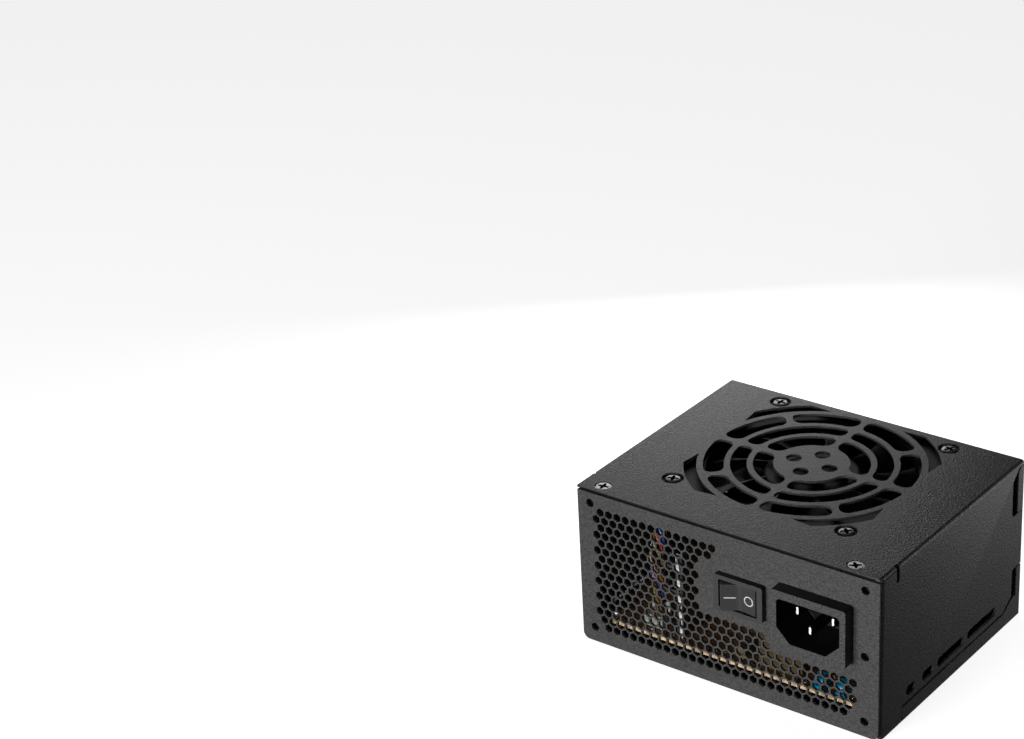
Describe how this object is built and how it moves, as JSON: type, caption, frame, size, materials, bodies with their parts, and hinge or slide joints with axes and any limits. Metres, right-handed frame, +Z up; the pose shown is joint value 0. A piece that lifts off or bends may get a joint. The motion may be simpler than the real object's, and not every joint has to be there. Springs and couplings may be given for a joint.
{
  "type": "power supply unit",
  "caption": "Small black steel box power supply with a slotted fan grille on top, a rocker switch, a mains inlet and a perforated panel.",
  "frame": {"origin": "centre of the 125 x 100 mm underside, on the plane that the unit stands on", "axes": "+Z up through the fan grille, -Y out of the inlet panel, +X to the right when facing the inlet panel"},
  "size_m": [0.125, 0.1068, 0.0635],
  "materials": {
    "coat": "fine textured black powder coat",
    "zinc": "zinc plated",
    "screw_steel": "dark nickel plated",
    "fan_plastic": "satin black moulding",
    "ferrite": "sintered dark grey",
    "copper": "enamelled copper wire",
    "inlet_plastic": "grainy dark grey moulding",
    "pin_metal": "bright plated",
    "switch_plastic": "fine grained black moulding",
    "rocker_plastic": "satin black moulding with pale printed marks",
    "grommet_plastic": "satin black moulding",
    "insulation": "smooth black film",
    "board": "laminate with a pale cut edge",
    "heatsink": "extruded and cut",
    "can_sleeve": "shrink sleeve",
    "yellow_tape": "polyester tape",
    "blue_epoxy": "dipped epoxy",
    "black_epoxy": "moulded epoxy",
    "fuse_sleeve": "glass fibre sleeve",
    "black_wire": "insulated wire",
    "blue_wire": "insulated wire",
    "green_wire": "insulated wire"
  },
  "bodies": {
    "chassis": {"top_cover": "coat", "front_panel": "coat", "base_tray": "coat", "cover_bracket_1": "zinc", "cover_bracket_2": "zinc", "cover_screw_1": "screw_steel", "cover_screw_2": "screw_steel", "fan_screw_1": "screw_steel", "fan_screw_2": "screw_steel", "fan_screw_3": "screw_steel", "fan_screw_4": "screw_steel", "fan_frame": "fan_plastic", "fan_bearing": "copper", "fan_stator": "copper", "inlet_housing": "inlet_plastic", "inlet_pin_line": "pin_metal", "inlet_pin_neutral": "pin_metal", "inlet_pin_earth": "pin_metal", "switch_housing": "switch_plastic", "rocker_axle": "zinc", "switch_terminal_1": "zinc", "switch_terminal_2": "zinc", "cable_grommet": "grommet_plastic", "insulation_sheet": "insulation", "main_board": "board", "converter_board": "board", "board_standoff_1": "zinc", "board_screw_1": "zinc", "board_standoff_2": "zinc", "board_screw_2": "zinc", "board_standoff_3": "zinc", "board_screw_3": "zinc", "board_standoff_4": "zinc", "board_screw_4": "zinc", "secondary_heatsink": "heatsink", "primary_heatsink": "heatsink", "bulk_capacitor": "can_sleeve", "output_capacitor_1": "can_sleeve", "output_capacitor_2": "can_sleeve", "output_capacitor_3": "can_sleeve", "output_capacitor_4": "can_sleeve", "transformer_core": "ferrite", "transformer_winding": "yellow_tape", "x_capacitor": "yellow_tape", "output_choke": "copper", "common_mode_choke": "copper", "y_capacitor_1": "blue_epoxy", "y_capacitor_2": "blue_epoxy", "bridge_rectifier": "black_epoxy", "power_transistor": "black_epoxy", "fuse": "fuse_sleeve", "line_lead": "black_wire", "fan_lead": "black_wire", "neutral_lead": "blue_wire", "earth_lead": "green_wire"},
    "rocker": {"switch_rocker": "rocker_plastic"},
    "fan_rotor": {"fan_impeller": "fan_plastic", "fan_shaft": "zinc", "fan_magnet_ring": "ferrite"}
  },
  "joints": [
    {"name": "rocker_pivot", "type": "hinge", "parent": "chassis", "child": "rocker", "pos_m": [0.0074, -0.0496, 0.0398], "axis": [0, 0, -1], "range_deg": [0, 24]},
    {"name": "fan_spin", "type": "hinge", "parent": "chassis", "child": "fan_rotor", "pos_m": [0, 0.008, 0.0535], "axis": [0, 0, 1], "continuous": true}
  ]
}
